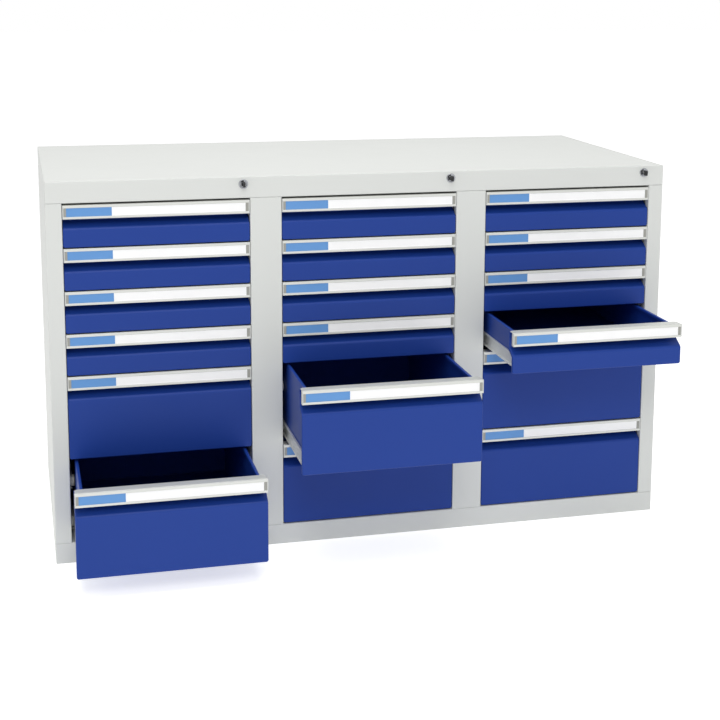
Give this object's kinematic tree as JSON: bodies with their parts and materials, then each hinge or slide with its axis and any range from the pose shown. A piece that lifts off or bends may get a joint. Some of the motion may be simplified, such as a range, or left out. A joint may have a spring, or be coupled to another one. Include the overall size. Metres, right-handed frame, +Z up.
{
  "type": "drawer cabinet",
  "caption": "Wide, low steel drawer cabinet in bays, with sheet-steel drawers on roller runners, full-width handle profiles with name cards, and a central lock over each bay.",
  "frame": {"origin": "on the floor, in the middle of the carcass footprint", "axes": "+Z up, -Y towards the user in front of the drawers, +X to the user's right"},
  "size_m": [1.5, 0.936, 0.9],
  "materials": {
    "body_paint": "light grey powder coat, satin, fine orange peel",
    "drawer_paint": "ultramarine blue powder coat, satin",
    "handle_aluminium": "natural anodised extrusion, fine draw lines",
    "zinc_steel": "bright zinc plated sheet",
    "roller_plastic": "off-white nylon",
    "lock_chrome": "polished die-cast",
    "key_plastic": "black moulded bow on a plated blade"
  },
  "bodies": {
    "carcass": {"side_panel_left": "body_paint", "side_panel_right": "body_paint", "partition_left": "body_paint", "partition_right": "body_paint", "back_panel": "body_paint", "top_panel": "body_paint", "base_panel": "body_paint", "uprights": "zinc_steel", "lock_cases": "lock_chrome", "cabinet_rails_left": "zinc_steel", "rail_rollers_left": "roller_plastic", "cabinet_rails_middle": "zinc_steel", "rail_rollers_middle": "roller_plastic", "cabinet_rails_right": "zinc_steel", "rail_rollers_right": "roller_plastic"},
    "drawer_left_1": {"drawer_left_1_tray": "drawer_paint", "drawer_left_1_handle_and_runners": "handle_aluminium"},
    "drawer_left_2": {"drawer_left_2_tray": "drawer_paint", "drawer_left_2_handle_and_runners": "handle_aluminium"},
    "drawer_left_3": {"drawer_left_3_tray": "drawer_paint", "drawer_left_3_handle_and_runners": "handle_aluminium"},
    "drawer_left_4": {"drawer_left_4_tray": "drawer_paint", "drawer_left_4_handle_and_runners": "handle_aluminium"},
    "drawer_left_5": {"drawer_left_5_tray": "drawer_paint", "drawer_left_5_handle_and_runners": "handle_aluminium"},
    "drawer_left_6": {"drawer_left_6_tray": "drawer_paint", "drawer_left_6_handle_and_runners": "handle_aluminium"},
    "lock_left": {"lock_plug_left": "lock_chrome", "key_left": "key_plastic"},
    "locking_bar_left": {"locking_bar_left": "zinc_steel"},
    "drawer_middle_1": {"drawer_middle_1_tray": "drawer_paint", "drawer_middle_1_handle_and_runners": "handle_aluminium"},
    "drawer_middle_2": {"drawer_middle_2_tray": "drawer_paint", "drawer_middle_2_handle_and_runners": "handle_aluminium"},
    "drawer_middle_3": {"drawer_middle_3_tray": "drawer_paint", "drawer_middle_3_handle_and_runners": "handle_aluminium"},
    "drawer_middle_4": {"drawer_middle_4_tray": "drawer_paint", "drawer_middle_4_handle_and_runners": "handle_aluminium"},
    "drawer_middle_5": {"drawer_middle_5_tray": "drawer_paint", "drawer_middle_5_handle_and_runners": "handle_aluminium"},
    "drawer_middle_6": {"drawer_middle_6_tray": "drawer_paint", "drawer_middle_6_handle_and_runners": "handle_aluminium"},
    "lock_middle": {"lock_plug_middle": "lock_chrome", "key_middle": "key_plastic"},
    "locking_bar_middle": {"locking_bar_middle": "zinc_steel"},
    "drawer_right_1": {"drawer_right_1_tray": "drawer_paint", "drawer_right_1_handle_and_runners": "handle_aluminium"},
    "drawer_right_2": {"drawer_right_2_tray": "drawer_paint", "drawer_right_2_handle_and_runners": "handle_aluminium"},
    "drawer_right_3": {"drawer_right_3_tray": "drawer_paint", "drawer_right_3_handle_and_runners": "handle_aluminium"},
    "drawer_right_4": {"drawer_right_4_tray": "drawer_paint", "drawer_right_4_handle_and_runners": "handle_aluminium"},
    "drawer_right_5": {"drawer_right_5_tray": "drawer_paint", "drawer_right_5_handle_and_runners": "handle_aluminium"},
    "drawer_right_6": {"drawer_right_6_tray": "drawer_paint", "drawer_right_6_handle_and_runners": "handle_aluminium"},
    "lock_right": {"lock_plug_right": "lock_chrome", "key_right": "key_plastic"},
    "locking_bar_right": {"locking_bar_right": "zinc_steel"}
  },
  "joints": [
    {"name": "drawer_left_1_slide", "type": "slide", "parent": "carcass", "child": "drawer_left_1", "axis": [0, -1, 0], "range_m": [0, 0.5]},
    {"name": "drawer_left_2_slide", "type": "slide", "parent": "carcass", "child": "drawer_left_2", "axis": [0, -1, 0], "range_m": [0, 0.5]},
    {"name": "drawer_left_3_slide", "type": "slide", "parent": "carcass", "child": "drawer_left_3", "axis": [0, -1, 0], "range_m": [0, 0.5]},
    {"name": "drawer_left_4_slide", "type": "slide", "parent": "carcass", "child": "drawer_left_4", "axis": [0, -1, 0], "range_m": [0, 0.5]},
    {"name": "drawer_left_5_slide", "type": "slide", "parent": "carcass", "child": "drawer_left_5", "axis": [0, -1, 0], "range_m": [0, 0.5]},
    {"name": "drawer_left_6_slide", "type": "slide", "parent": "carcass", "child": "drawer_left_6", "axis": [0, -1, 0], "range_m": [-0.228, 0.272]},
    {"name": "lock_left_turn", "type": "hinge", "parent": "carcass", "child": "lock_left", "pos_m": [-0.3025, -0.35, 0.883], "axis": [0, -1, 0], "range_deg": [0, 90]},
    {"name": "locking_bar_left_lift", "type": "slide", "parent": "carcass", "child": "locking_bar_left", "axis": [0, 0, 1], "range_m": [0, 0.0113]},
    {"name": "drawer_middle_1_slide", "type": "slide", "parent": "carcass", "child": "drawer_middle_1", "axis": [0, -1, 0], "range_m": [0, 0.5]},
    {"name": "drawer_middle_2_slide", "type": "slide", "parent": "carcass", "child": "drawer_middle_2", "axis": [0, -1, 0], "range_m": [0, 0.5]},
    {"name": "drawer_middle_3_slide", "type": "slide", "parent": "carcass", "child": "drawer_middle_3", "axis": [0, -1, 0], "range_m": [0, 0.5]},
    {"name": "drawer_middle_4_slide", "type": "slide", "parent": "carcass", "child": "drawer_middle_4", "axis": [0, -1, 0], "range_m": [0, 0.5]},
    {"name": "drawer_middle_5_slide", "type": "slide", "parent": "carcass", "child": "drawer_middle_5", "axis": [0, -1, 0], "range_m": [-0.235, 0.265]},
    {"name": "drawer_middle_6_slide", "type": "slide", "parent": "carcass", "child": "drawer_middle_6", "axis": [0, -1, 0], "range_m": [0, 0.5]},
    {"name": "lock_middle_turn", "type": "hinge", "parent": "carcass", "child": "lock_middle", "pos_m": [0.1975, -0.35, 0.883], "axis": [0, -1, 0], "range_deg": [0, 90]},
    {"name": "locking_bar_middle_lift", "type": "slide", "parent": "carcass", "child": "locking_bar_middle", "axis": [0, 0, 1], "range_m": [0, 0.0113]},
    {"name": "drawer_right_1_slide", "type": "slide", "parent": "carcass", "child": "drawer_right_1", "axis": [0, -1, 0], "range_m": [0, 0.5]},
    {"name": "drawer_right_2_slide", "type": "slide", "parent": "carcass", "child": "drawer_right_2", "axis": [0, -1, 0], "range_m": [0, 0.5]},
    {"name": "drawer_right_3_slide", "type": "slide", "parent": "carcass", "child": "drawer_right_3", "axis": [0, -1, 0], "range_m": [0, 0.5]},
    {"name": "drawer_right_4_slide", "type": "slide", "parent": "carcass", "child": "drawer_right_4", "axis": [0, -1, 0], "range_m": [-0.217, 0.283]},
    {"name": "drawer_right_5_slide", "type": "slide", "parent": "carcass", "child": "drawer_right_5", "axis": [0, -1, 0], "range_m": [0, 0.5]},
    {"name": "drawer_right_6_slide", "type": "slide", "parent": "carcass", "child": "drawer_right_6", "axis": [0, -1, 0], "range_m": [0, 0.5]},
    {"name": "lock_right_turn", "type": "hinge", "parent": "carcass", "child": "lock_right", "pos_m": [0.6975, -0.35, 0.883], "axis": [0, -1, 0], "range_deg": [0, 90]},
    {"name": "locking_bar_right_lift", "type": "slide", "parent": "carcass", "child": "locking_bar_right", "axis": [0, 0, 1], "range_m": [0, 0.0113]}
  ],
  "couplings": [
    {"joint": "lock_left_turn", "follows": "locking_bar_left_lift", "rad_per_m": 138.84},
    {"joint": "lock_middle_turn", "follows": "locking_bar_middle_lift", "rad_per_m": 138.84},
    {"joint": "lock_right_turn", "follows": "locking_bar_right_lift", "rad_per_m": 138.84}
  ]
}
